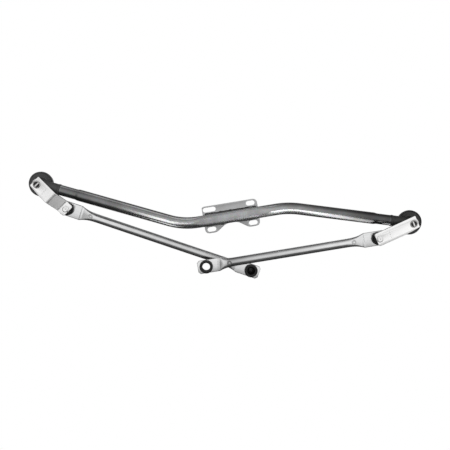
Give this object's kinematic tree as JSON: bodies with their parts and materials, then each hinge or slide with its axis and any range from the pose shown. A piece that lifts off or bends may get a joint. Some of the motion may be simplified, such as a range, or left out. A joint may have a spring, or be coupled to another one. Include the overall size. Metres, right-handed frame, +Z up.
{
  "type": "windshield wiper linkage",
  "caption": "Wiper linkage: bent steel frame tube with slotted centre bracket, cast spindle housings, cranks and ball-jointed push rods.",
  "frame": {"origin": "middle of the centre bracket's rear mounting face, behind the frame tube", "axes": "+X from the left spindle housing to the right one along the linkage, +Y out of the bracket's rear face and along both spindles towards the wiper arms, +Z up across the linkage; the cranks face -Y"},
  "size_m": [0.7442, 0.0879, 0.2069],
  "materials": {
    "galvanised_tube": "galvanised, satin with soft streaks along the tube",
    "bracket_steel": "zinc-plated pressed sheet, satin",
    "dark_casting": "die casting with black coating, slightly rough",
    "sintered_bronze": "sintered, oil-soaked",
    "black_rubber": "moulded, matt",
    "bright_zinc": "bright zinc plate, near white",
    "spindle_steel": "ground and zinc plated",
    "zinc_rod": "zinc-plated tube, satin",
    "black_plastic": "moulded acetal, slight sheen"
  },
  "bodies": {
    "frame": {"frame_tube": "galvanised_tube", "centre_bracket": "bracket_steel", "left_housing": "dark_casting", "left_front_bush": "sintered_bronze", "left_rear_bush": "sintered_bronze", "left_spindle_seal": "black_rubber", "left_panel_gasket": "black_rubber", "left_panel_washer": "bright_zinc", "left_panel_nut": "bright_zinc", "right_housing": "dark_casting", "right_front_bush": "sintered_bronze", "right_rear_bush": "sintered_bronze", "right_spindle_seal": "black_rubber", "right_panel_gasket": "black_rubber", "right_panel_washer": "bright_zinc", "right_panel_nut": "bright_zinc"},
    "left_crank_arm": {"left_spindle": "spindle_steel", "left_front_thrust_washer": "spindle_steel", "left_rear_thrust_washer": "spindle_steel", "left_wave_washer": "spindle_steel", "left_circlip": "spindle_steel", "left_crank": "bright_zinc", "left_ball_stud": "bright_zinc"},
    "left_ball_cap": {"left_ball_seal": "black_rubber"},
    "left_rod": {"left_push_rod": "zinc_rod", "left_crank_socket": "black_plastic", "left_motor_cup": "black_plastic"},
    "right_crank_arm": {"right_spindle": "spindle_steel", "right_front_thrust_washer": "spindle_steel", "right_rear_thrust_washer": "spindle_steel", "right_wave_washer": "spindle_steel", "right_circlip": "spindle_steel", "right_crank": "bright_zinc", "right_ball_stud": "bright_zinc"},
    "right_ball_cap": {"right_ball_seal": "black_rubber"},
    "right_rod": {"right_push_rod": "zinc_rod", "right_crank_socket": "black_plastic", "right_motor_ring": "black_plastic"}
  },
  "joints": [
    {"name": "left_spindle_turn", "type": "hinge", "parent": "frame", "child": "left_crank_arm", "pos_m": [-0.3582, 0, 0.0611], "axis": [0, 1, 0], "range_deg": [-3, 125]},
    {"name": "left_rod_swing", "type": "hinge", "parent": "left_crank_arm", "child": "left_ball_cap", "pos_m": [-0.31216, 0.002, 0.01409], "axis": [0, 1, 0], "range_deg": [-2, 110]},
    {"name": "left_rod_tilt", "type": "hinge", "parent": "left_ball_cap", "child": "left_rod", "pos_m": [-0.31216, 0.002, 0.01409], "axis": [0.3239, 0, 0.9461], "range_deg": [0, 8]},
    {"name": "right_spindle_turn", "type": "hinge", "parent": "frame", "child": "right_crank_arm", "pos_m": [0.3391, 0, -0.0117], "axis": [0, -1, 0], "range_deg": [-3, 125]},
    {"name": "right_rod_swing", "type": "hinge", "parent": "right_crank_arm", "child": "right_ball_cap", "pos_m": [0.27742, -0.016, -0.04033], "axis": [0, -1, 0], "range_deg": [-2, 110]},
    {"name": "right_rod_tilt", "type": "hinge", "parent": "right_ball_cap", "child": "right_rod", "pos_m": [0.27742, -0.016, -0.04033], "axis": [-0.165, 0, 0.9863], "range_deg": [0, 8]}
  ]
}
